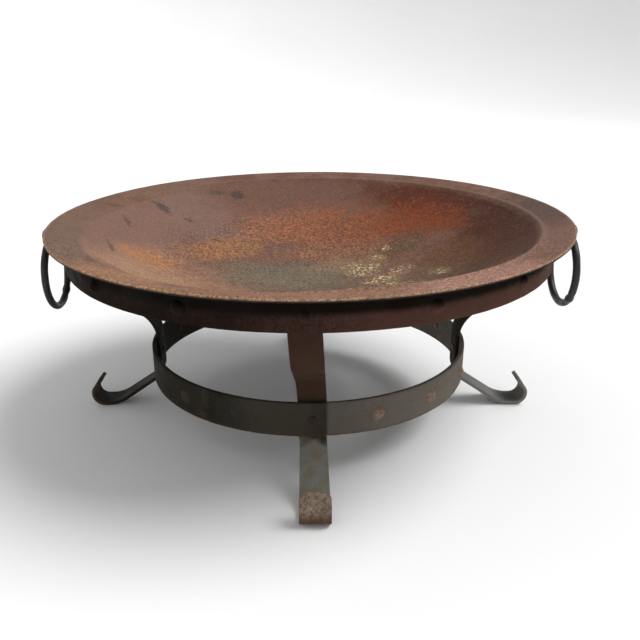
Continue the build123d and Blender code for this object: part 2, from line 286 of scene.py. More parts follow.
# ---- material tools ----
class Mixer:
    """Builds one material's nodes with short calls."""

    def __init__(self, name):
        self.material = bpy.data.materials.new(name)
        self.material.use_nodes = True
        self.tree = self.material.node_tree
        self.shader = self.tree.nodes["Principled BSDF"] if "Principled BSDF" in self.tree.nodes else None
        if self.shader is None:
            self.tree.nodes.clear()
            self.shader = self.tree.nodes.new("ShaderNodeBsdfPrincipled")
            output = self.tree.nodes.new("ShaderNodeOutputMaterial")
            self.tree.links.new(self.shader.outputs[0], output.inputs[0])
        self.place = self.tree.nodes.new("ShaderNodeTexCoord").outputs["Object"]

    def put(self, value, socket):
        if isinstance(value, bpy.types.NodeSocket):
            self.tree.links.new(value, socket)
        elif hasattr(value, "__len__") and len(value) == 3 and socket.type == "RGBA":
            socket.default_value = (*value, 1.0)
        else:
            socket.default_value = value

    def math(self, operation, first, second=0.0):
        node = self.tree.nodes.new("ShaderNodeMath")
        node.operation = operation
        self.put(first, node.inputs[0])
        self.put(second, node.inputs[1])
        return node.outputs[0]

    def times(self, first, second):
        return self.math("MULTIPLY", first, second)

    def plus(self, first, second):
        return self.math("ADD", first, second)

    def swing(self, pattern, amount):
        """A pattern about one half, brought to swing about zero."""
        return self.times(self.math("SUBTRACT", pattern, 0.5), amount)

    def vector(self, operation, first, second):
        """Length or dot product of vectors."""
        node = self.tree.nodes.new("ShaderNodeVectorMath")
        node.operation = operation
        self.put(first, node.inputs[0])
        self.put(second, node.inputs[1])
        return node.outputs["Value"]

    def noise(self, size, detail=4.0, rough=0.55, stretch=(1, 1, 1), shift=(0, 0, 0), warp=0.0):
        """Cloudy pattern, features about size metres across."""
        where = self.place
        if stretch != (1, 1, 1) or shift != (0, 0, 0):
            node = self.tree.nodes.new("ShaderNodeMapping")
            self.put(where, node.inputs["Vector"])
            node.inputs["Scale"].default_value = stretch
            node.inputs["Location"].default_value = shift
            where = node.outputs[0]
        pattern = self.tree.nodes.new("ShaderNodeTexNoise")
        self.put(where, pattern.inputs["Vector"])
        pattern.inputs["Scale"].default_value = 1.0 / size
        pattern.inputs["Detail"].default_value = detail
        pattern.inputs["Roughness"].default_value = rough
        pattern.inputs["Distortion"].default_value = warp
        return pattern.outputs[0]

    def cells(self, size):
        """Distance from the middle of the nearest cell, cells about size metres across."""
        pattern = self.tree.nodes.new("ShaderNodeTexVoronoi")
        self.put(self.place, pattern.inputs["Vector"])
        pattern.inputs["Scale"].default_value = 1.0 / size
        return pattern.outputs["Distance"]

    def ramp(self, value, start, end, low_value=0.0, high_value=1.0):
        """Value brought smoothly from low_value to high_value between start and end."""
        node = self.tree.nodes.new("ShaderNodeMapRange")
        node.interpolation_type = "SMOOTHSTEP"
        self.put(value, node.inputs["Value"])
        node.inputs["From Min"].default_value = start
        node.inputs["From Max"].default_value = end
        node.inputs["To Min"].default_value = low_value
        node.inputs["To Max"].default_value = high_value
        return node.outputs[0]

    def blend(self, share, first, second, mode="MIX"):
        node = self.tree.nodes.new("ShaderNodeMix")
        node.data_type = "RGBA"
        node.blend_type = mode
        self.put(share, node.inputs[0])
        self.put(first, node.inputs[6])
        self.put(second, node.inputs[7])
        return node.outputs[2]

    def axis(self, name):
        node = self.tree.nodes.new("ShaderNodeSeparateXYZ")
        self.put(self.place, node.inputs[0])
        return node.outputs[name]

    def away(self, centre, spread, turn=0.0):
        """Distance from a place in lengths of spread: 1 on the edge of an oval patch."""
        node = self.tree.nodes.new("ShaderNodeMapping")
        node.vector_type = "TEXTURE"
        self.put(self.place, node.inputs["Vector"])
        node.inputs["Location"].default_value = centre
        node.inputs["Rotation"].default_value = (0, 0, turn)
        node.inputs["Scale"].default_value = spread
        return self.vector("LENGTH", node.outputs[0], (0, 0, 0))

    def patch(self, centre, spread, ragged, turn=0.0, soft=0.5, amount=1.0):
        """Soft ragged-edged patch: amount in the middle, 0 well outside."""
        far = self.plus(self.away(centre, spread, turn), ragged)
        return self.ramp(far, 1.0 + soft, 1.0 - soft, 0.0, amount)

    def bump(self, height, depth, strength=1.0, under=None):
        node = self.tree.nodes.new("ShaderNodeBump")
        node.inputs["Strength"].default_value = strength
        node.inputs["Distance"].default_value = depth
        self.put(height, node.inputs["Height"])
        if under is not None:
            self.put(under, node.inputs["Normal"])
        return node.outputs[0]

    def shade(self, base, light):
        """The colour made lighter or darker by a factor."""
        grey = self.blend(1.0, (1.0, 1.0, 1.0), light, "MULTIPLY")
        return self.blend(1.0, base, grey, "MULTIPLY")

    def from_axis(self):
        """Distance from the bowl's axis."""
        x, y = self.axis("X"), self.axis("Y")
        return self.math("SQRT", self.plus(self.times(x, x), self.times(y, y)))

    def finish(self, base, rough, normal, gloss):
        self.put(base, self.shader.inputs["Base Color"])
        self.put(rough, self.shader.inputs["Roughness"])
        self.put(normal, self.shader.inputs["Normal"])
        self.shader.inputs["Metallic"].default_value = 0.0
        self.shader.inputs["Specular IOR Level"].default_value = gloss
        return self.material


def colours():
    return bpy.context.scene.fire_pit_colours


def sizes():
    return bpy.context.scene.fire_pit_sizes


def once(name, build):
    """The material of that name, made the first time it is asked for."""
    return bpy.data.materials.get(name) or build(name)


DISH_PATCHES = (  # stains in the dish, the darkest ones at +X partly painted shade on the wall turned from the light: place, spread, turn, softness, amount, colour
    ((-0.300, 0.060, 0.290), (0.130, 0.260, 0.090), 0.0, 0.5, 0.85, (0.193, 0.109, 0.084)),
    ((-0.205, -0.130, 0.255), (0.110, 0.120, 0.090), 0.4, 0.6, 0.9, (0.345, 0.196, 0.118)),
    ((-0.200, 0.190, 0.275), (0.115, 0.070, 0.090), 2.4, 0.5, 0.85, (0.186, 0.113, 0.092)),
    ((0.000, 0.310, 0.290), (0.210, 0.045, 0.090), 0.0, 0.5, 0.85, (0.148, 0.076, 0.056)),
    ((0.215, 0.240, 0.300), (0.120, 0.070, 0.090), -0.8, 0.5, 0.95, (0.090, 0.021, 0.010)),
    ((0.330, -0.010, 0.295), (0.095, 0.240, 0.110), 0.0, 0.5, 0.95, (0.052, 0.015, 0.008)),
    ((0.250, -0.130, 0.260), (0.080, 0.110, 0.110), 0.5, 0.6, 0.85, (0.066, 0.028, 0.015)),
)
RUST_PATCHES = (  # fresh rust, its tones darker towards +X partly as painted shade: place, spread, turn, amount, colour
    ((-0.245, -0.020, 0.262), (0.052, 0.036, 0.070), 0.3, 0.75, (0.370, 0.165, 0.072)),
    ((-0.145, 0.115, 0.240), (0.085, 0.030, 0.070), 0.75, 0.80, (0.312, 0.141, 0.059)),
    ((-0.070, 0.215, 0.252), (0.070, 0.040, 0.070), 0.45, 0.80, (0.290, 0.124, 0.070)),
    ((0.020, 0.215, 0.252), (0.085, 0.055, 0.070), 0.0, 0.85, (0.284, 0.104, 0.052)),
    ((0.115, 0.195, 0.255), (0.075, 0.060, 0.070), -0.5, 0.85, (0.250, 0.082, 0.034)),
    ((0.200, 0.175, 0.268), (0.090, 0.050, 0.070), -0.8, 0.85, (0.210, 0.050, 0.018)),
    ((0.050, 0.130, 0.226), (0.110, 0.028, 0.060), 0.0, 0.55, (0.264, 0.123, 0.069)),
    ((0.235, 0.010, 0.257), (0.050, 0.070, 0.070), 0.2, 0.75, (0.115, 0.048, 0.020)),
    ((0.158, 0.092, 0.240), (0.040, 0.022, 0.050), 0.4, 0.80, (0.240, 0.105, 0.042)),
)
GREEN_PATCHES = (  # grey green stains on the bottom
    ((-0.020, 0.015, 0.213), (0.120, 0.062, 0.050), 0.1, 0.6, 0.85, (0.145, 0.136, 0.094)),
    ((-0.060, 0.060, 0.216), (0.075, 0.032, 0.050), 0.2, 0.6, 0.6, (0.119, 0.115, 0.084)),
    ((0.170, 0.110, 0.245), (0.048, 0.036, 0.050), 0.6, 0.6, 0.75, (0.084, 0.059, 0.036)),
    ((0.095, -0.080, 0.225), (0.130, 0.070, 0.050), 0.0, 0.6, 0.7, (0.110, 0.090, 0.055)),
    ((0.060, 0.075, 0.220), (0.060, 0.022, 0.040), 0.2, 0.6, 0.5, (0.255, 0.170, 0.100)),
)
SCORCH = (  # dark scorch marks and scratches
    ((-0.135, 0.290, 0.298), (0.012, 0.010, 0.020), 0.4, 0.75),
    ((-0.176, 0.284, 0.302), (0.015, 0.006, 0.014), 0.5, 0.45),
    ((-0.262, 0.186, 0.297), (0.017, 0.010, 0.020), -0.7, 0.80),
    ((-0.276, 0.190, 0.303), (0.012, 0.006, 0.020), 0.2, 0.55),
    ((-0.213, 0.179, 0.275), (0.011, 0.007, 0.020), 0.2, 0.60),
    ((-0.162, 0.140, 0.249), (0.011, 0.007, 0.014), 0.1, 0.40),
    ((-0.307, 0.089, 0.297), (0.005, 0.013, 0.014), 0.5, 0.55),
    ((-0.300, -0.052, 0.290), (0.004, 0.016, 0.016), 0.45, 0.65),
    ((-0.310, -0.030, 0.292), (0.003, 0.022, 0.020), 0.55, 0.45),
)
ASH_CLUMPS = (  # place, spread, amount
    ((0.092, 0.045, 0.220), (0.030, 0.034, 0.030), 1.0),
    ((0.120, -0.020, 0.224), (0.026, 0.030, 0.030), 1.0),
    ((0.138, -0.080, 0.231), (0.028, 0.026, 0.030), 0.9),
    ((0.122, 0.086, 0.230), (0.010, 0.014, 0.030), 0.9),
    ((0.139, 0.116, 0.238), (0.007, 0.010, 0.030), 1.0),
    ((0.150, 0.010, 0.232), (0.020, 0.020, 0.030), 0.7),
    ((0.200, -0.052, 0.246), (0.014, 0.020, 0.030), 0.9),
    ((0.060, -0.060, 0.220), (0.040, 0.014, 0.030), 0.5),
)
FLANGE_PATCHES = (  # stains on the flange
    ((0.020, -0.375, 0.320), (0.260, 0.060, 0.050), 0.0, 0.5, 0.85, (0.258, 0.135, 0.085)),
    ((0.210, -0.315, 0.320), (0.100, 0.060, 0.050), 0.6, 0.5, 0.80, (0.345, 0.185, 0.140)),
    ((-0.115, -0.360, 0.320), (0.060, 0.040, 0.050), -0.3, 0.5, 0.60, (0.219, 0.107, 0.062)),
    ((-0.235, -0.300, 0.320), (0.085, 0.055, 0.050), -0.8, 0.5, 0.75, (0.310, 0.165, 0.086)),
    ((-0.345, -0.150, 0.320), (0.060, 0.110, 0.050), 0.0, 0.5, 0.70, (0.150, 0.100, 0.072)),
    ((-0.370, 0.020, 0.320), (0.050, 0.080, 0.050), 0.0, 0.5, 0.60, (0.159, 0.107, 0.077)),
    ((-0.290, 0.260, 0.320), (0.110, 0.080, 0.050), 0.7, 0.5, 0.60, (0.172, 0.107, 0.072)),
    ((0.375, 0.040, 0.320), (0.050, 0.130, 0.050), 0.0, 0.5, 0.85, (0.080, 0.052, 0.041)),
    ((0.370, -0.150, 0.320), (0.060, 0.090, 0.050), 0.0, 0.5, 0.70, (0.163, 0.092, 0.074)),
)


def bowl_material(name):
    """Old rust: mauve brown left, maroon right, an orange band, a grey green bottom, specks of ash; the
    dark right side is partly painted shade.
    """
    c = colours()
    m = Mixer(name)
    x, y = m.axis("X"), m.axis("Y")
    radius = m.from_axis()
    cloud = m.noise(0.10, 6.0, 0.62, warp=0.6)
    drift = m.noise(0.040, 6.0, 0.65, shift=(3.1, 1.7, 0.4))
    mottle = m.noise(0.011, 5.0, 0.7, shift=(0.3, 0.9, 2.4))
    speck = m.noise(0.0042, 3.0, 0.72, shift=(5.0, 2.0, 1.0))
    grain = m.noise(0.0020, 3.0, 0.7)
    grain_two = m.noise(0.0048, 3.0, 0.75, shift=(1.0, 7.0, 3.0))
    wide = m.math("SUBTRACT", m.plus(m.times(cloud, 1.6), drift), 1.3)
    ragged = m.plus(wide, m.swing(mottle, 0.9))

    # the dish
    base = m.blend(m.ramp(drift, 0.38, 0.62), c.bowl, c.mauve)
    for centre, spread, turn, soft, amount, tone in DISH_PATCHES:
        base = m.blend(m.patch(centre, spread, wide, turn, soft, amount), base, tone)
    base = m.blend(m.ramp(mottle, 0.53, 0.66, 0.0, 0.35), base, (0.215, 0.095, 0.055))

    uneven = m.swing(speck, 2.6)
    uneven = m.plus(uneven, m.swing(mottle, 2.2))

    # fresh rust comes through as fine grain, thicker towards the middle of each patch
    for centre, spread, turn, amount, tone in RUST_PATCHES:
        thick = m.patch(centre, spread, ragged, turn, 0.9, amount)
        grainy = m.plus(thick, uneven)
        share = m.times(m.ramp(grainy, -0.05, 1.05, 0.0, 0.95), m.ramp(thick, 0.0, 0.45))
        base = m.blend(share, base, tone)
        fleck = m.times(m.ramp(thick, 0.1, 0.6), m.ramp(grain_two, 0.50, 0.60, 0.0, 0.45))
        base = m.blend(fleck, base, tuple(0.42 * part for part in tone))

    for centre, spread, turn, soft, amount, tone in GREEN_PATCHES:
        stain = m.patch(centre, spread, ragged, turn, soft, amount)
        base = m.blend(m.times(stain, m.ramp(speck, 0.34, 0.56, 0.6, 1.0)), base, tone)
    torn = m.plus(m.times(ragged, 1.2), m.swing(speck, 3.0))
    for centre, spread, turn, amount in SCORCH:
        mark = m.patch(centre, spread, torn, turn, 0.35, amount)
        base = m.blend(mark, base, c.scorch)

    # ash: small clumps of white crumbs on a pale film
    crumbs = m.ramp(m.cells(0.0068), 0.50, 0.26)
    for centre, spread, amount in ASH_CLUMPS:
        clump = m.patch(centre, spread, ragged, 0.3, 0.5, amount)
        film = m.times(clump, m.ramp(speck, 0.44, 0.58, 0.15, 0.6))
        base = m.blend(film, base, (0.330, 0.235, 0.105))
        thrown = m.times(m.times(crumbs, clump), m.ramp(mottle, 0.47, 0.57))
        base = m.blend(thrown, base, c.ash)

    # the flange, with a painted highlight on the lip's crest and a paler outer edge that is a painted
    # highlight broken by speckle
    lip = RIM_RADIUS - sizes().flange
    on_flange = m.ramp(m.plus(radius, m.times(ragged, 4 * MM)), lip - 11 * MM, lip - 1 * MM)
    dusty = m.blend(m.ramp(drift, 0.40, 0.60), c.flange, (0.170, 0.092, 0.068))
    for centre, spread, turn, soft, amount, tone in FLANGE_PATCHES:
        dusty = m.blend(m.patch(centre, spread, wide, turn, soft, amount), dusty, tone)
    dusty = m.blend(m.ramp(mottle, 0.54, 0.66, 0.0, 0.35), dusty, (0.280, 0.125, 0.070))
    dusty = m.blend(m.ramp(mottle, 0.44, 0.34, 0.0, 0.35), dusty, (0.115, 0.075, 0.056))
    from_crest = m.math("ABSOLUTE", m.math("SUBTRACT", radius, lip + 0.5 * MM))
    # painted highlight on the lip's crest, drawn only at the right and back, where the light catches it
    crest = m.ramp(from_crest, 5 * MM, 1 * MM, 0.0, 0.5)
    crest = m.times(crest, m.ramp(x, -0.16, 0.10))
    dusty = m.blend(crest, dusty, (0.205, 0.125, 0.090))
    # painted highlight along the rim's outer edge, broken by speckle
    at_edge = m.ramp(radius, RIM_RADIUS - 5 * MM, RIM_RADIUS - 2.5 * MM)
    worn = m.times(at_edge, m.ramp(speck, 0.36, 0.56, 0.2, 0.6))
    dusty = m.blend(worn, dusty, (0.340, 0.225, 0.140))
    base = m.blend(on_flange, base, dusty)

    # fine colour grain everywhere
    blotch = m.noise(0.0065, 3.0, 0.7, shift=(8.0, 1.0, 6.0))
    busy = m.math("MAXIMUM", m.ramp(radius, 0.290, 0.215), m.ramp(y, -0.05, -0.20))
    strength = m.ramp(busy, 0.0, 1.0, 0.40, 1.0)
    light_rust = m.times(m.ramp(blotch, 0.50, 0.64, 0.0, 0.40), strength)
    base = m.blend(light_rust, base, (0.250, 0.110, 0.055))
    dark_rust = m.times(m.ramp(blotch, 0.47, 0.36, 0.0, 0.40), strength)
    base = m.blend(dark_rust, base, (0.090, 0.060, 0.046))
    for pattern, depth in ((speck, 0.26), (grain, 0.34), (mottle, 0.10)):
        lit = m.times(m.ramp(pattern, 0.38, 0.62, -depth, depth), strength)
        lit = m.plus(lit, 1.0)
        base = m.shade(base, lit)

    # painted shade on the underside: every face that looks down is darkened
    normal = m.tree.nodes.new("ShaderNodeNewGeometry").outputs["Normal"]
    facing = m.vector("DOT_PRODUCT", normal, (0.0, 0.0, 1.0))
    painted_shade = m.blend(m.ramp(mottle, 0.45, 0.65, 0.0, 0.6), c.under, (0.040, 0.022, 0.015))
    base = m.blend(m.ramp(facing, 0.15, -0.25), base, painted_shade)

    rough = m.ramp(mottle, 0.3, 0.7, 0.66, 0.94)
    height = m.plus(m.times(speck, 0.6), m.times(grain, 0.4))
    pits = m.ramp(m.cells(0.006), 0.28, 0.10)
    fine = m.bump(height, 0.0010, 0.6)
    pitted = m.bump(m.times(pits, -1.0), 0.0004, 0.5, fine)
    return m.finish(base, rough, pitted, 0.18)


def forged_material(name, tone, rust, grey, grey_and_painted_light_from=None, worn=0.35):
    """Forge scale with rust blooms and weathered grey; grey may grow towards +X, partly weathered grey and
    partly painted light from the right.
    """
    m = Mixer(name)
    cloud = m.noise(0.060, 5.0, 0.6, warp=0.5)
    streak = m.noise(0.030, 5.0, 0.65, stretch=(1, 1, 0.35), shift=(1.3, 4.2, 0.7))
    mottle = m.noise(0.009, 5.0, 0.7)
    speck = m.noise(0.0034, 3.0, 0.72, shift=(2.0, 5.0, 1.0))
    base = m.blend(m.ramp(streak, 0.44, 0.62), tone, rust)
    if grey_and_painted_light_from is None:
        share = m.ramp(cloud, 0.48, 0.68, 0.0, worn)
    else:
        start, end = grey_and_painted_light_from
        waver = m.swing(cloud, 0.25)
        # painted light from the right: the grey grows towards +X
        side = m.ramp(m.plus(m.axis("X"), waver), start, end)
        share = m.math("MAXIMUM", side, m.ramp(cloud, 0.52, 0.70, 0.0, worn))
    base = m.blend(share, base, grey)
    base = m.blend(m.ramp(mottle, 0.56, 0.70, 0.0, 0.5), base, rust)
    base = m.blend(m.ramp(mottle, 0.42, 0.30, 0.0, 0.4), base, tuple(0.4 * part for part in tone))
    base = m.shade(base, m.ramp(speck, 0.32, 0.68, 0.72, 1.34))
    rough = m.ramp(cloud, 0.35, 0.65, 0.60, 0.86)
    height = m.plus(m.times(mottle, 0.7), m.times(speck, 0.3))
    return m, base, rough, m.bump(height, 0.0009, 0.6)


def hoop_material(name):
    """Nearly black at the left, maroon brown in front, redder and lighter to the right, partly weathered
    and partly painted light from the right; a painted shadow under the flange darkens the top.
    """
    c = colours()
    grey = (0.108, 0.055, 0.041)
    m, base, rough, normal = forged_material(
        name, tuple(c.hoop_dark), (0.014, 0.007, 0.005), grey, (-0.16, 0.34), 0.1
    )
    front = m.times(m.ramp(m.axis("X"), 0.02, 0.10, 0.0, 0.75), m.ramp(m.axis("Y"), 0.0, -0.1))
    base = m.blend(front, base, (0.066, 0.031, 0.022))
    # painted shadow of the flange along the top of the hoop
    painted_shade = m.plus(m.axis("Z"), m.times(m.noise(0.03), 0.006))
    painted_shade = m.ramp(painted_shade, HOOP_TOP - 0.021, HOOP_TOP - 0.010, 0.0, 0.97)
    base = m.blend(painted_shade, base, (0.004, 0.003, 0.002))
    return m.finish(base, rough, normal, 0.04)


def ring_material(name):
    """Black green scale with a little brown rust at the left, grey to the right of the seam; the grey is
    partly weathering and partly painted light from the right.
    """
    c = colours()
    m, base, rough, normal = forged_material(
        name, tuple(c.iron), (0.020, 0.014, 0.009), tuple(c.stand_grey), (0.03, 0.19), 0.15
    )
    past_seam = m.ramp(m.axis("X"), 0.024, 0.030, 0.0, 0.65)
    centre = m.ramp(m.math("ABSOLUTE", m.plus(m.axis("X"), 0.04)), 0.10, 0.02, 0.0, 0.5)
    base = m.blend(m.times(centre, m.ramp(m.axis("Y"), 0.0, -0.02)), base, (0.058, 0.048, 0.036))
    in_front = m.ramp(m.axis("Y"), 0.0, -0.02)
    base = m.blend(m.times(past_seam, in_front), base, tuple(c.stand_grey))
    wander = m.times(m.noise(0.02), 0.006)
    stain = m.ramp(m.plus(m.axis("Z"), wander), RING_BOTTOM + 0.010, RING_BOTTOM + 0.002)
    base = m.blend(m.times(stain, 0.5), base, (0.070, 0.040, 0.028))
    return m.finish(base, rough, normal, 0.08)


def leg_material(name):
    """Brown above the ring, grey green shin, dry earth and pale flecks on the foot."""
    c = colours()
    m, base, rough, normal = forged_material(
        name, tuple(c.iron), tuple(c.stand_rust), (0.050, 0.045, 0.036), None, 0.3
    )
    z = m.axis("Z")
    front = m.ramp(m.axis("Y"), -0.12, -0.20)
    cloud = m.noise(0.030, 5.0, 0.6, shift=(2.0, 9.0, 1.0))
    mottle = m.noise(0.006, 4.0, 0.7, shift=(4.0, 1.0, 3.0))
    below = m.plus(z, m.swing(cloud, 0.06))
    brown = m.blend(m.ramp(cloud, 0.4, 0.6), (0.042, 0.019, 0.011), (0.035, 0.017, 0.010))
    upper = m.times(m.ramp(z, RING_TOP - 0.01, RING_TOP + 0.01), front)
    base = m.blend(m.times(upper, 0.92), base, brown)
    shin = m.blend(m.ramp(cloud, 0.42, 0.60), (0.165, 0.138, 0.100), (0.180, 0.178, 0.164))
    base = m.blend(m.times(m.ramp(below, RING_BOTTOM, RING_BOTTOM - 0.02), front), base, shin)
    foot = m.blend(m.ramp(mottle, 0.42, 0.58), tuple(c.foot_tan), (0.110, 0.078, 0.056))
    out = m.plus(m.from_axis(), m.swing(cloud, 0.03))
    right = m.times(m.ramp(m.axis("X"), 0.24, 0.26), m.ramp(z, RING_BOTTOM, 0.05))
    base = m.blend(m.times(right, 0.85), base, (0.185, 0.183, 0.172))
    curl = m.times(m.ramp(out, 0.335, 0.358, 0.0, 0.9), m.ramp(z, RING_BOTTOM, RING_BOTTOM - 0.02))
    base = m.blend(m.times(curl, m.ramp(front, 0.0, 1.0, 0.3, 1.0)), base, foot)
    low_part = m.times(curl, m.times(front, m.ramp(z, 0.030, 0.012, 0.0, 0.85)))
    base = m.blend(low_part, base, (0.070, 0.030, 0.016))
    fleck = m.ramp(m.cells(0.0042), 0.36, 0.20)
    fleck = m.times(fleck, m.ramp(m.noise(0.010, shift=(5.0, 0.0, 3.0)), 0.50, 0.62, 0.0, 0.6))
    fleck = m.times(fleck, m.times(front, curl))
    fleck = m.times(fleck, m.ramp(z, 0.018, 0.028))
    base = m.blend(fleck, base, (0.50, 0.44, 0.30))
    return m.finish(base, rough, normal, 0.10)


def handle_material(name):
    """Black iron rubbed to a soft shine, with a little rust, and a painted highlight that greys it towards
    +X.
    """
    c = colours()
    m, base, rough, normal = forged_material(
        name, tuple(c.black), (0.016, 0.011, 0.009), (0.022, 0.021, 0.019), (0.1, 0.5), 0.3
    )
    return m.finish(base, m.ramp(m.noise(0.02), 0.35, 0.65, 0.40, 0.60), normal, 0.35)


def eye_material(name):
    """Black iron with a little brown rust."""
    m, base, rough, normal = forged_material(
        name, (0.018, 0.016, 0.014), (0.050, 0.030, 0.020), (0.050, 0.045, 0.038)
    )
    return m.finish(base, rough, normal, 0.10)


def rivet_material(name):
    """Brown rivet heads on the ring, dark at the left as painted shade and greyer at the right as painted
    light, partly weathered grey.
    """
    m, base, rough, normal = forged_material(
        name, (0.016, 0.014, 0.010), (0.026, 0.015, 0.010), (0.190, 0.128, 0.098), (0.02, 0.14), 0.2
    )
    return m.finish(base, rough, normal, 0.2)


# ---- bowl ----
def bowl_outline(s):
    """Points (radius, height, upward face) down the top surface and back along the underside."""
    tilt = math.atan2(s.flange_fall, s.flange - s.land)
    bottom = BOWL_UNDER + s.wall
    lip_x = RIM_RADIUS - s.flange + s.lip * math.sin(tilt)
    lip_z = RIM_TOP - s.flange_fall - s.lip * math.cos(tilt)
    rise = lip_z - bottom
    dish = (lip_x**2 + rise**2 - s.lip**2) / (2 * (rise + s.lip))
    dish_z = bottom + dish
    steep = math.asin(lip_x / (dish + s.lip))
    land_x = RIM_RADIUS - s.land
    under_z = RIM_TOP - s.wall / math.cos(tilt)

    def surface(depth, dish_steps, lip_steps, flange_steps):
        radius = dish + depth
        curve = [
            (radius * math.sin(steep * k / dish_steps), dish_z - radius * math.cos(steep * k / dish_steps))
            for k in range(dish_steps + 1)
        ]
        inner = s.lip - depth
        for k in range(1, lip_steps + 1):
            angle = steep + (tilt - steep) * k / lip_steps
            curve.append((lip_x - inner * math.sin(angle), lip_z + inner * math.cos(angle)))
        start = curve[-1]
        end = (land_x, RIM_TOP if depth == 0 else under_z)
        for k in range(1, flange_steps + 1):
            share = k / flange_steps
            curve.append((start[0] + (end[0] - start[0]) * share, start[1] + (end[1] - start[1]) * share))
        return curve

    top = surface(0.0, 72, 12, 14)
    under = surface(s.wall, 44, 8, 8)
    top.append(((land_x + RIM_RADIUS) / 2, RIM_TOP))
    edge = min(1.4 * MM, s.wall / 3)
    for k in range(7):
        angle = math.radians(90 - 30 * k)
        height = RIM_TOP - edge if k <= 3 else under_z + edge
        top.append((RIM_RADIUS - edge + edge * math.cos(angle), height + edge * math.sin(angle)))
    return top, under


def bowl_unevenness(s, radius, angle, height):
    """Where a hand-beaten bowl strays: (out, up) at a place, the same for both faces of the wall."""
    x, y = radius * math.cos(angle), radius * math.sin(angle)
    overhang = smoothstep(radius, HOOP_RADIUS, RIM_RADIUS)
    waver = 0.5 - 0.5 * wandering(angle, 5, (2, 3, 4, 6, 9, 13))
    waver *= 1.0 - 0.9 * smoothstep(abs(math.cos(angle)), 0.93, 0.99)
    out = -overhang * s.rim_waver * (waver + 0.18 + 0.18 * ripple((x, y, 0), 0.011, 3.0))
    up = -overhang * s.rim_waver * 0.55 * (0.5 + 0.5 * wandering(angle, 11, (2, 3, 5, 8)))
    lip_at = RIM_RADIUS - s.flange + 1 * MM
    beaten = smoothstep(-x - 0.4 * y, 0.05, 0.26)  # the lip is beaten soft at the left
    up += s.bead * (1 - 0.9 * beaten) * math.exp(-(((radius - lip_at) / (4.6 * MM)) ** 2))
    up -= beaten * 2.0 * MM * math.exp(-(((radius - lip_at + 2 * MM) / (15 * MM)) ** 2))
    dish_in = 1.0 - smoothstep(radius, lip_at - 0.030, lip_at)
    spot = (x, y, height)
    up += dish_in * (0.9 * MM * ripple(spot, 0.060, 1.0) + 0.35 * MM * ripple(spot, 0.022, 2.0))
    up -= dish_in * 0.5 * MM * dents(spot, 0.030, 4.0)
    return out, up


def bowl_point(s, radius, height, angle, pitted):
    out, up = bowl_unevenness(s, radius, angle, height)
    x, y = math.cos(angle), math.sin(angle)
    if pitted:
        up -= 0.22 * MM * max(0.0, ripple((radius * x, radius * y, height), 0.009, 6.0))
    reach = radius + out if radius > 1e-6 else 0.0
    return Vector((reach * x, reach * y, height + up))


class FIREPIT_OT_bowl(bpy.types.Operator):
    """Beats out the bowl: dish, rounded lip, flange and rim in one sheet of iron"""

    bl_idname = "firepit.bowl"
    bl_label = "Bowl"

    around = 560

    def execute(self, context):
        s = sizes()
        top, under = bowl_outline(s)
        angles = [TAU * i / self.around for i in range(self.around)]
        loop = [(p, True) for p in top[1:]] + [(p, False) for p in reversed(under[1:])]
        bm = bmesh.new()
        rows = [[bowl_point(s, r, z, a, pitted) for a in angles] for (r, z), pitted in loop]
        verts = grid(bm, rows, close_columns=True)
        fan(bm, verts[0], bowl_point(s, 0.0, top[0][1], 0.0, False), flip=True)
        fan(bm, verts[-1], bowl_point(s, 0.0, under[0][1], 0.0, False))
        bowl = add_object("forged_bowl", finished(bm, "forged_bowl"), once("bowl_rust", bowl_material))
        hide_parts("fire_bowl")
        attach(bowl, "bowl")
        return {"FINISHED"}


# ---- hoop and ring ----
def band(name, outer, bottom, top, material, seam=None, *, around, seed):
    """Flat bar bent to a hoop: rounded edges, hammer dents pressed in, and a seam where it closes."""
    s = sizes()
    width = top - bottom
    section = rounded_bar(width, s.bar, s.edge, 12)
    rows = []
    for i in range(around):
        angle = TAU * i / around
        edge_in = 0.35 * MM * (1 + wandering(angle, int(seed), (3, 5, 8, 13, 21)))
        squeeze = 1 - 2 * edge_in / width
        step = 0.0
        if seam is not None:
            away = (angle - seam + math.pi) % TAU - math.pi
            step = 0.7 * MM * (1 - smoothstep(away, 0.0, 0.30)) if away >= 0 else 0.0
            step += 0.9 * MM * math.exp(-((away * outer / (1.2 * MM)) ** 2))
        row = []
        for across, out in section:
            face = out / s.bar
            height = (bottom + top) / 2 + across * squeeze
            spot = (outer * math.cos(angle), outer * math.sin(angle), height)
            hollow = 0.5 * (0.5 + 0.5 * ripple(spot, 0.05, seed))
            pressed = s.dent * (0.8 * dents(spot, 0.024, seed) + hollow)
            radius = outer - s.bar + out - (pressed + step if face > 0.5 else -0.3 * pressed)
            row.append(Vector((radius * math.cos(angle), radius * math.sin(angle), height)))
        rows.append(row)
    bm = bmesh.new()
    grid(bm, rows, close_rows=True, close_columns=True)
    return add_object(name, finished(bm, name), material)


class FIREPIT_OT_hoop(bpy.types.Operator):
    """Bends the flat bar that carries the bowl"""

    bl_idname = "firepit.hoop"
    bl_label = "Upper hoop"

    def execute(self, context):
        material = once("hoop_iron", hoop_material)
        hoop = band("forged_hoop", HOOP_RADIUS, HOOP_BOTTOM, HOOP_TOP, material, around=600, seed=2.0)
        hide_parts("upper_hoop")
        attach(hoop, "stand")
        return {"FINISHED"}


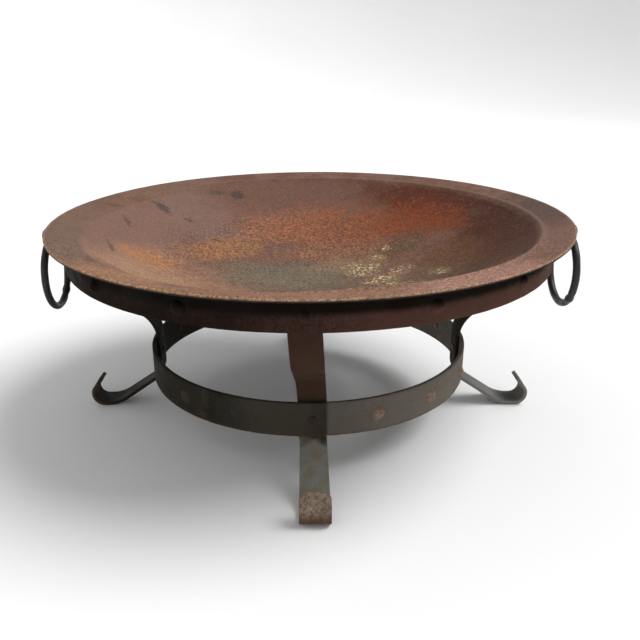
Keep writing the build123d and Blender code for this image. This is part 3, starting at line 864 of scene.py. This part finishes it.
class FIREPIT_OT_ring(bpy.types.Operator):
    """Bends the lower ring that ties the legs, with its welded seam beside the front leg"""

    bl_idname = "firepit.ring"
    bl_label = "Lower ring"

    def execute(self, context):
        edge = LEG_SHIFTS["front"][1] + sizes().leg_ring / 2
        seam = math.radians(-90) + math.asin(edge / RING_RADIUS)
        material = once("ring_iron", ring_material)
        ring = band(
            "forged_ring", RING_RADIUS, RING_BOTTOM, RING_TOP, material, seam % TAU, around=480, seed=3.0
        )
        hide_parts("lower_ring")
        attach(ring, "stand")
        return {"FINISHED"}


# ---- legs ----
STRAIGHT_DROP = 18.5 * MM  # straight part below the hoop
KNEE_DROP = 2 * MM  # upright again this far below the ring's upper edge
UPPER_BEND = 49 * MM
LOWER_BEND = 55 * MM
FOOT_BEND = 28.5 * MM
FOOT_SPLAY = math.radians(56)
FOOT_SWEEP = 62 * MM
FOOT_FLAT = 4 * MM
FOOT_CURL = 18 * MM
FOOT_CURL_TURN = math.radians(128)
FOOT_TIP = 18 * MM
TIP_ROUNDING = 9 * MM
RING_EDGE_GAP = 0.5 * MM


class Path:
    """Flat path of straight runs and tangent arcs, read at any distance."""

    def __init__(self, start, heading):
        self.parts = []
        self.at, self.heading, self.length = Vector(start), heading, 0.0

    def run(self, distance):
        self.parts.append((self.length, distance, self.at.copy(), self.heading, 0.0))
        self.at += distance * Vector((math.cos(self.heading), math.sin(self.heading)))
        self.length += distance

    def arc(self, radius, turn):
        """Turns by an angle: positive to the left."""
        distance = radius * abs(turn)
        self.parts.append((self.length, distance, self.at.copy(), self.heading, turn / distance))
        self.at, self.heading = self.point(self.length + distance)
        self.length += distance

    def point(self, distance):
        for start, span, at, heading, bend in reversed(self.parts):
            if distance >= start - 1e-12:
                break
        gone = distance - start
        if bend == 0.0:
            return at + gone * Vector((math.cos(heading), math.sin(heading))), heading
        turned = heading + bend * gone
        shift = Vector((math.sin(turned) - math.sin(heading), math.cos(heading) - math.cos(turned)))
        return at + shift / bend, turned


def seat(inner, half_width):
    """Where a flat bar's outer face lies when its edges touch the inside of a hoop."""
    return math.sqrt(inner**2 - half_width**2)


def leg_path(s, shifts):
    """Centreline of a leg in the plane of distance and height, as the frame's legs have it."""
    down = -math.pi / 2
    start = seat(HOOP_RADIUS - s.bar, s.leg_top / 2 + abs(shifts[0])) - s.bar / 2
    shin = seat(RING_RADIUS - s.bar, s.leg_ring / 2 + abs(shifts[1])) - s.bar / 2
    first_bend = HOOP_BOTTOM - STRAIGHT_DROP
    knee = RING_TOP - KNEE_DROP
    across, fall = start - shin, first_bend - knee
    both = UPPER_BEND + LOWER_BEND
    slope = math.atan2(across - both, fall) + math.asin(both / math.hypot(across - both, fall))
    shin_end = RING_BOTTOM - RING_EDGE_GAP
    foot_fall = FOOT_BEND * math.sin(FOOT_SPLAY) + FOOT_SWEEP * (1 - math.sin(FOOT_SPLAY))

    path = Path((start, LEG_TOP), down)
    path.run(LEG_TOP - first_bend)
    path.arc(UPPER_BEND, -slope)
    path.run((across - both * (1 - math.cos(slope))) / math.sin(slope))
    path.arc(LOWER_BEND, slope)
    path.run(path.at.y - shin_end)
    path.arc(FOOT_BEND, FOOT_SPLAY)
    path.run((shin_end - s.bar / 2 - foot_fall) / math.cos(FOOT_SPLAY))
    path.arc(FOOT_SWEEP, math.pi / 2 - FOOT_SPLAY)
    path.run(FOOT_FLAT)
    path.arc(FOOT_CURL, FOOT_CURL_TURN)
    path.run(FOOT_TIP)
    return path


def between(stations, height):
    """Value at a height from stations (height, value) listed from the top down."""
    for (upper, first), (lower, second) in zip(stations, stations[1:]):
        if height >= lower:
            share = 0.0 if upper == lower else min(1.0, max(0.0, (upper - height) / (upper - lower)))
            return first + (second - first) * share
    return stations[-1][1]


def leg_mesh(name, turn, shifts, seed):
    """Flat bar swept down the leg's path: rounded edges, hammer dents, scrolled foot, round tip."""
    s = sizes()
    path = leg_path(s, shifts)
    shin_at = RING_BOTTOM - 10 * MM
    heights = (HOOP_BOTTOM, RING_TOP, RING_BOTTOM, shin_at, s.bar)
    widths = tuple(zip(heights, (s.leg_top, s.leg_ring, s.leg_ring, s.leg_shin, s.leg_foot)))
    middle = (shifts[1] + shifts[2]) / 2
    leans = tuple(zip(heights, (shifts[0], shifts[1], shifts[1], middle, shifts[2])))
    foot_from = path.length - FOOT_TIP - FOOT_CURL * FOOT_CURL_TURN - FOOT_FLAT
    steps = int(path.length / (2.6 * MM))
    stops = [path.length * k / steps for k in range(steps)]
    stops += [path.length - TIP_ROUNDING * (1 - math.sin(math.radians(a))) for a in (30, 50, 66, 79, 90)]
    stops = sorted(set(stop for stop in stops if stop <= path.length))
    about = Matrix.Rotation(math.radians(turn), 4, "Z")
    rows = []
    for stop in stops:
        centre, heading = path.point(stop)
        height = centre.y if stop < foot_from else s.bar / 2
        width, lean = between(widths, height), between(leans, height)
        left_over = path.length - stop
        if left_over < TIP_ROUNDING:
            half = math.sqrt(max(0.0, TIP_ROUNDING**2 - (TIP_ROUNDING - left_over) ** 2))
            width -= 2 * (TIP_ROUNDING - half)
        width -= 0.5 * MM * (1 + ripple((stop, seed, 0), 0.05, seed))
        out = Vector((-math.sin(heading), math.cos(heading)))  # towards the outside on the way down
        edge = min(s.edge, width / 4)
        row = []
        for across, rise in rounded_bar(width, s.bar, edge, 10):
            spot = (stop, across * 1.3, seed)
            hollow = 0.35 * (0.5 + 0.5 * ripple(spot, 0.04, seed))
            pressed = s.dent * (0.9 * dents(spot, 0.022, seed) + hollow)
            share = 2 * rise / s.bar - 1
            place = centre + out * (rise - s.bar / 2 - pressed * share)
            row.append(about @ Vector((place.x, lean + across, place.y)))
        rows.append(row)
    bm = bmesh.new()
    verts = grid(bm, rows, close_columns=True)
    bm.faces.new(verts[0])
    bm.faces.new(list(reversed(verts[-1])))
    return finished(bm, name)


class FIREPIT_OT_legs(bpy.types.Operator):
    """Forges the four scrolled legs"""

    bl_idname = "firepit.legs"
    bl_label = "Legs"

    def execute(self, context):
        material = once("leg_iron", leg_material)
        for seed, (side, turn) in enumerate(LEG_TURNS.items(), 1):
            name = "forged_leg_" + side
            leg = add_object(name, leg_mesh(name, turn, LEG_SHIFTS[side], float(seed)), material)
            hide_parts("leg_" + side)
            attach(leg, "stand")
        return {"FINISHED"}


# ---- rivets ----
def rivet_profile(head, rise, inner, shank, tail):
    """Outline of a rivet from its crown to its hammered tail; height 0 is where the head sits."""
    ball = (head**2 + rise**2) / (2 * rise)
    half = math.asin(head / ball)
    turns = [half * k / 9 for k in range(10)]
    crown = [(ball * math.sin(turn), rise - ball + ball * math.cos(turn)) for turn in turns]
    tail_rise = 2.3 * MM
    return crown + [
        (head - 0.3 * MM, -0.4 * MM),
        (shank, -0.5 * MM),
        (shank, inner + 0.2 * MM),
        (tail, inner),
        (tail - 0.4 * MM, inner - 0.35 * tail_rise),
        (shank, inner - tail_rise * 0.9),
        (shank * 0.5, inner - tail_rise),
        (0.0, inner - tail_rise),
    ]


def add_rivet(bm, place, head, rise, inner, shank, tail, seed):
    """One rivet with a hammered, slightly lopsided head."""
    maker = random.Random(seed)
    lean = Vector((maker.uniform(-1, 1), maker.uniform(-1, 1), 0)) * 0.05
    flats = [(maker.uniform(0, TAU), maker.uniform(0.35, 0.8)) for _ in range(5)]

    def uneven(point):
        if point.z < -0.1 * MM:
            return point
        shape = point.copy()
        low_by = 0.0
        for angle, far in flats:  # each blow leaves a shallow flat on the dome
            toward = Vector((math.cos(angle), math.sin(angle), 0)) * far * head
            gap = (Vector((point.x, point.y, 0)) - toward).length / head
            low_by = max(low_by, 0.16 * rise * max(0.0, 1 - (gap / 0.55) ** 2))
        shape.z = max(point.z * 0.2, point.z - low_by)
        shape.x *= 1 - 0.04 * (1 + ripple((point.x, point.y, seed), head, seed))
        shape.y *= 1 - 0.04 * (1 + ripple((point.y, point.x, seed + 9), head, seed))
        return shape + lean * point.z

    lathe(bm, rivet_profile(head, rise, inner, shank, tail), place, 36, uneven)


def dome_turns(turns):
    return [base + side * turn for base in (-90.0, 90.0) for side in (-1, 1) for turn in turns]


def rivet_group(name, places, head, shank, node, material, seed):
    """Several like rivets as one piece: each is (matrix, depth from head seat to tail, rise)."""
    bm = bmesh.new()
    for i, (place, inner, rise) in enumerate(places):
        add_rivet(bm, place, head, rise, inner, shank, shank + 2 * MM, seed + i)
    group = add_object(name, finished(bm, name), material)
    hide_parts(node)
    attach(group, "stand")


SEATED = 0.35 * MM  # heads sit this deep, where the hammered bars are a little thinner
LEFT_FRONT = (-180.0, -90.0)  # here the ring's dome rivets are hammered nearly flush
RIVET_MATERIALS = (("hoop_iron", hoop_material), ("rivet_brown", rivet_material))  # hoop, ring


class FIREPIT_OT_leg_rivets(bpy.types.Operator):
    """Sets the small rivets that hold the legs to the hoop and to the ring"""

    bl_idname = "firepit.leg_rivets"
    bl_label = "Leg rivets"

    def execute(self, context):
        s = sizes()
        for level, (node, radius, height, width, legs) in enumerate(
            (
                ("hoop_leg_rivets", HOOP_RADIUS, HOOP_MIDDLE, s.leg_top, ("front", "rear")),
                ("ring_leg_rivets", RING_RADIUS, RING_MIDDLE, s.leg_ring, tuple(LEG_TURNS)),
            )
        ):
            places = []
            for side in legs:
                sideways = LEG_SHIFTS[side][level]
                face = seat(radius - s.bar, width / 2 + abs(sideways)) - s.bar
                curve = radius - math.sqrt(radius**2 - sideways**2)
                place = outward_place(LEG_TURNS[side], radius - curve - SEATED, height, sideways)
                places.append((place, face - radius + SEATED, s.leg_rivet_rise))
            material = once(*RIVET_MATERIALS[level])
            rivet_group("forged_" + node, places, s.leg_rivet, 3.5 * MM, node, material, 20 + level)
        return {"FINISHED"}


class FIREPIT_OT_dome_rivets(bpy.types.Operator):
    """Sets the large domed rivets round the hoop and the ring"""

    bl_idname = "firepit.dome_rivets"
    bl_label = "Dome rivets"

    def execute(self, context):
        s = sizes()
        for level, (node, radius, height, turns) in enumerate(
            (
                ("hoop_dome_rivets", HOOP_RADIUS, HOOP_MIDDLE, HOOP_DOME_TURNS),
                ("ring_dome_rivets", RING_RADIUS, RING_MIDDLE, RING_DOME_TURNS),
            )
        ):
            places = []
            for turn in dome_turns(turns):
                flat = level == 1 and LEFT_FRONT[0] < turn < LEFT_FRONT[1]
                rise = s.dome_rivet_rise * (0.3 if flat else 1.0)
                places.append((outward_place(turn, radius - SEATED, height), -s.bar + SEATED, rise))
            material = once(*RIVET_MATERIALS[level])
            rivet_group("forged_" + node, places, s.dome_rivet, 4 * MM, node, material, 40 + 20 * level)
        return {"FINISHED"}


# ---- eyes and handles ----
EYE_BAR = 3.5 * MM
EYE_HOLE = 8.5 * MM
EYE_STEPS, BAR_STEPS = 72, 20  # points round the eye and round its bar
HANDLE_STEPS, ROD_STEPS = 200, 28  # points round a handle and round its rod


def welded(parts, name, voxel, rounds):
    """Joins closed shapes into one skin with soft forge-welded corners."""
    mesh = finished(parts, name + "_rough")
    rough = bpy.data.objects.new(name + "_rough", mesh)
    bpy.context.scene.collection.objects.link(rough)
    remesh = rough.modifiers.new("weld", "REMESH")
    remesh.mode = "VOXEL"
    remesh.voxel_size = voxel
    soften = rough.modifiers.new("soften", "SMOOTH")
    soften.factor = 0.5
    soften.iterations = rounds
    bpy.context.view_layer.update()
    evaluated = rough.evaluated_get(bpy.context.evaluated_depsgraph_get())
    skin = bpy.data.meshes.new_from_object(evaluated)
    skin.name = name
    bpy.data.objects.remove(rough)
    bpy.data.meshes.remove(mesh)
    return skin


def eye_mesh(name, turn, seed):
    """Bar bent to a loop on a tapered neck, with its collar, shank and hammered tail."""
    s = sizes()
    about = Matrix.Rotation(math.radians(turn), 4, "Z")
    bend = EYE_HOLE + EYE_BAR
    centre = EYE_OUTER - EYE_BAR - bend
    bm = bmesh.new()
    rows = []
    for i in range(EYE_STEPS):
        angle = TAU * i / EYE_STEPS
        thick = EYE_BAR * (1 - 0.04 * (1 + wandering(angle, seed, (2, 3, 5))))
        row = []
        for k in range(BAR_STEPS):
            round_bar = TAU * k / BAR_STEPS
            reach = bend + EYE_BAR - thick + thick * math.cos(round_bar)
            x, z = centre + reach * math.cos(angle), HOOP_MIDDLE + reach * math.sin(angle)
            row.append(about @ Vector((x, thick * math.sin(round_bar), z)))
        rows.append(row)
    grid(bm, rows, close_rows=True, close_columns=True)
    face = seat(HOOP_RADIUS - s.bar, s.leg_top / 2) - s.bar
    place = outward_place(turn, HOOP_RADIUS, HOOP_MIDDLE)
    loop_near = centre - bend - HOOP_RADIUS
    inner = face - HOOP_RADIUS
    profile = [
        (0.0, loop_near + 1.5 * MM),
        (3.6 * MM, loop_near + 1.2 * MM),
        (4.6 * MM, loop_near - 1.5 * MM),
        (5.0 * MM, 3.6 * MM),
        (5.6 * MM, 3.0 * MM),
        (8.2 * MM, 2.7 * MM),
        (8.9 * MM, 1.8 * MM),
        (8.9 * MM, -0.6 * MM),
        (4.5 * MM, -0.8 * MM),
        (4.5 * MM, inner + 0.4 * MM),
        (6.4 * MM, inner + 0.1 * MM),
        (6.1 * MM, inner - 1.3 * MM),
        (4.2 * MM, inner - 2.3 * MM),
        (0.0, inner - 2.4 * MM),
    ]

    def uneven(point):
        if point.z < 0:
            return point
        swell = 1 + 0.05 * ripple((point.x, point.y, point.z + seed), 0.008, seed)
        return Vector((point.x * min(swell, 1.0), point.y * min(swell, 1.0), point.z))

    lathe(bm, profile, place, 40, uneven)
    return welded(bm, name, 0.55 * MM, 3)


class FIREPIT_OT_eyes(bpy.types.Operator):
    """Forges the two eyes that hold the handles"""

    bl_idname = "firepit.eyes"
    bl_label = "Handle eyes"

    def execute(self, context):
        material = once("eye_iron", eye_material)
        for seed, side in enumerate(SIDES, 1):
            turn = 0.0 if side == "right" else 180.0
            name = "forged_eye_" + side
            eye = add_object(name, eye_mesh(name, turn, seed), material)
            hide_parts("handle_eye_" + side)
            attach(eye, "stand")
        return {"FINISHED"}


def handle_mesh(name, side, turn, weld_at, seed):
    """Rod bent to a ring and forge-welded: slightly uneven, with a lump at the weld."""
    s = sizes()
    reach = (HANDLE_TOP - HANDLE_BOTTOM) / 2 - s.rod
    centre_z = (HANDLE_TOP + HANDLE_BOTTOM) / 2
    place = Matrix.Translation((SIDES[side] * HANDLE_X, 0, centre_z)) @ Matrix.Rotation(-turn, 4, "Z")
    rows = []
    for i in range(HANDLE_STEPS):
        angle = TAU * i / HANDLE_STEPS
        away = (angle - weld_at + math.pi) % TAU - math.pi
        lump = 0.9 * MM * math.exp(-((away / 0.075) ** 2))
        lump -= 0.4 * MM * math.exp(-(((abs(away) - 0.17) / 0.06) ** 2))
        top_wear = 0.5 * MM * math.exp(-(((angle - math.pi / 2) / 0.12) ** 2))
        row = []
        for k in range(ROD_STEPS):
            round_rod = TAU * k / ROD_STEPS
            spot = (math.cos(angle) * reach, math.sin(angle) * reach, round_rod * 4 * MM)
            thick = s.rod + lump - top_wear - 0.22 * MM * (1 + ripple(spot, 0.016, seed))
            thick -= 0.25 * MM * dents(spot, 0.013, seed)
            far = reach + thick * math.cos(round_rod)
            point = Vector((thick * math.sin(round_rod), far * math.cos(angle), far * math.sin(angle)))
            row.append(place @ point)
        rows.append(row)
    bm = bmesh.new()
    grid(bm, rows, close_rows=True, close_columns=True)
    return finished(bm, name)


class FIREPIT_OT_handles(bpy.types.Operator):
    """Bends the two ring handles that hang in the eyes"""

    bl_idname = "firepit.handles"
    bl_label = "Ring handles"

    def execute(self, context):
        material = once("handle_black", handle_material)
        welds = {"left": math.radians(310), "right": math.radians(222)}
        for seed, side in enumerate(SIDES, 1):
            name = "forged_handle_" + side
            mesh = handle_mesh(name, side, HANDLE_TURNS[side], welds[side], float(seed))
            handle = add_object(name, mesh, material)
            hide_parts("handle_ring_" + side)
            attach(handle, "handle_" + side)
        return {"FINISHED"}


# ---- stage ----
def floor_material(name, tone):
    m = Mixer(name)
    cloud = m.noise(0.6, 3.0)
    pale = m.blend(m.ramp(cloud, 0.3, 0.7, 0.0, 1.0), tone, tuple(0.985 * part for part in tone))
    return m.finish(pale, m.ramp(cloud, 0.3, 0.7, 0.88, 0.95), m.bump(m.noise(0.004), 0.0001, 0.1), 0.1)


KEY_FROM = (1.0, 0.05, 1.45)  # direction towards the main light
KEY_SPREAD = math.radians(38)  # wide, so shadows are soft
BACKDROP = 7.0  # radius of the wall round the floor
CURVE = 2.5  # radius of the bend from floor to wall
WALL = 3.6  # height of the wall


class FIREPIT_OT_stage(bpy.types.Operator):
    """Lays the pale floor and sets the soft lights and the camera"""

    bl_idname = "firepit.stage"
    bl_label = "Stage"

    def execute(self, context):
        scene = context.scene
        view = scene.fire_pit_stage
        profile = [(r * RIM_RADIUS, 0.0) for r in (1, 4, 10)]
        for k in range(13):  # the floor curves up into a plain wall
            angle = math.pi / 2 * k / 12
            profile.append((BACKDROP + CURVE * (math.sin(angle) - 1), CURVE * (1 - math.cos(angle))))
        profile.append((BACKDROP, WALL))
        steps = 96
        angles = [TAU * i / steps for i in range(steps)]
        rows = [[Vector((r * math.cos(a), r * math.sin(a), z)) for a in angles] for r, z in profile]
        bm = bmesh.new()
        verts = grid(bm, rows, close_columns=True)
        fan(bm, verts[0], Vector((0, 0, 0)))
        floor = add_object("floor", finished(bm, "floor"), floor_material("pale_floor", tuple(view.floor)))

        world = bpy.data.worlds.new("studio")
        world.use_nodes = True
        sky = world.node_tree.nodes.get("Background")
        if sky is None:
            sky = world.node_tree.nodes.new("ShaderNodeBackground")
            output = world.node_tree.nodes.new("ShaderNodeOutputWorld")
            world.node_tree.links.new(sky.outputs[0], output.inputs[0])
        sky.inputs["Color"].default_value = (1.0, 1.0, 1.0, 1.0)
        sky.inputs["Strength"].default_value = view.sky
        scene.world = world

        key = bpy.data.lights.new("key", "SUN")
        key.energy = view.key
        key.angle = KEY_SPREAD
        lamp = bpy.data.objects.new("key", key)
        lamp.rotation_mode = "QUATERNION"
        lamp.rotation_quaternion = Vector(KEY_FROM).to_track_quat("Z", "Y")
        scene.collection.objects.link(lamp)

        lens = bpy.data.cameras.new("camera")
        lens.sensor_width = 36.0
        lens.lens = view.lens
        lens.shift_x, lens.shift_y = view.shift
        camera = bpy.data.objects.new("camera", lens)
        camera.location = (0.0, -view.distance, RIM_TOP + view.rise)
        turn = Euler((math.pi / 2 - view.pitch, 0.0, -view.yaw)).to_matrix()
        camera.rotation_mode = "QUATERNION"
        camera.rotation_quaternion = (turn @ Matrix.Rotation(view.roll, 3, "Z")).to_quaternion()
        scene.collection.objects.link(camera)
        scene.camera = camera
        scene.view_settings.view_transform = "Standard"
        return {"FINISHED"}


class FIREPIT_PT_panel(bpy.types.Panel):
    """Buttons for each part of the fire pit"""

    bl_label = "Fire Pit"
    bl_idname = "FIREPIT_PT_panel"
    bl_space_type = "VIEW_3D"
    bl_region_type = "UI"
    bl_category = "Fire Pit"

    def draw(self, context):
        column = self.layout.column(align=True)
        for operator in OPERATORS:
            column.operator(operator.bl_idname)
        for group in (
            context.scene.fire_pit_sizes,
            context.scene.fire_pit_colours,
            context.scene.fire_pit_stage,
        ):
            box = self.layout.box()
            for name in group.__annotations__:
                box.prop(group, name)


OPERATORS = (
    FIREPIT_OT_stage,
    FIREPIT_OT_bowl,
    FIREPIT_OT_hoop,
    FIREPIT_OT_ring,
    FIREPIT_OT_legs,
    FIREPIT_OT_leg_rivets,
    FIREPIT_OT_dome_rivets,
    FIREPIT_OT_eyes,
    FIREPIT_OT_handles,
)
GROUPS = {
    "fire_pit_sizes": FIREPIT_PG_sizes,
    "fire_pit_colours": FIREPIT_PG_colours,
    "fire_pit_stage": FIREPIT_PG_stage,
}


def register():
    for each in (*GROUPS.values(), *OPERATORS, FIREPIT_PT_panel):
        bpy.utils.register_class(each)
    for name, group in GROUPS.items():
        setattr(bpy.types.Scene, name, bpy.props.PointerProperty(type=group))


def unregister():
    for name in GROUPS:
        delattr(bpy.types.Scene, name)
    for each in reversed((*GROUPS.values(), *OPERATORS, FIREPIT_PT_panel)):
        bpy.utils.unregister_class(each)


def main():
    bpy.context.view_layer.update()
    register()
    for operator in OPERATORS:
        group, call = operator.bl_idname.split(".")
        getattr(getattr(bpy.ops, group), call)()


if __name__ == "__main__":
    main()
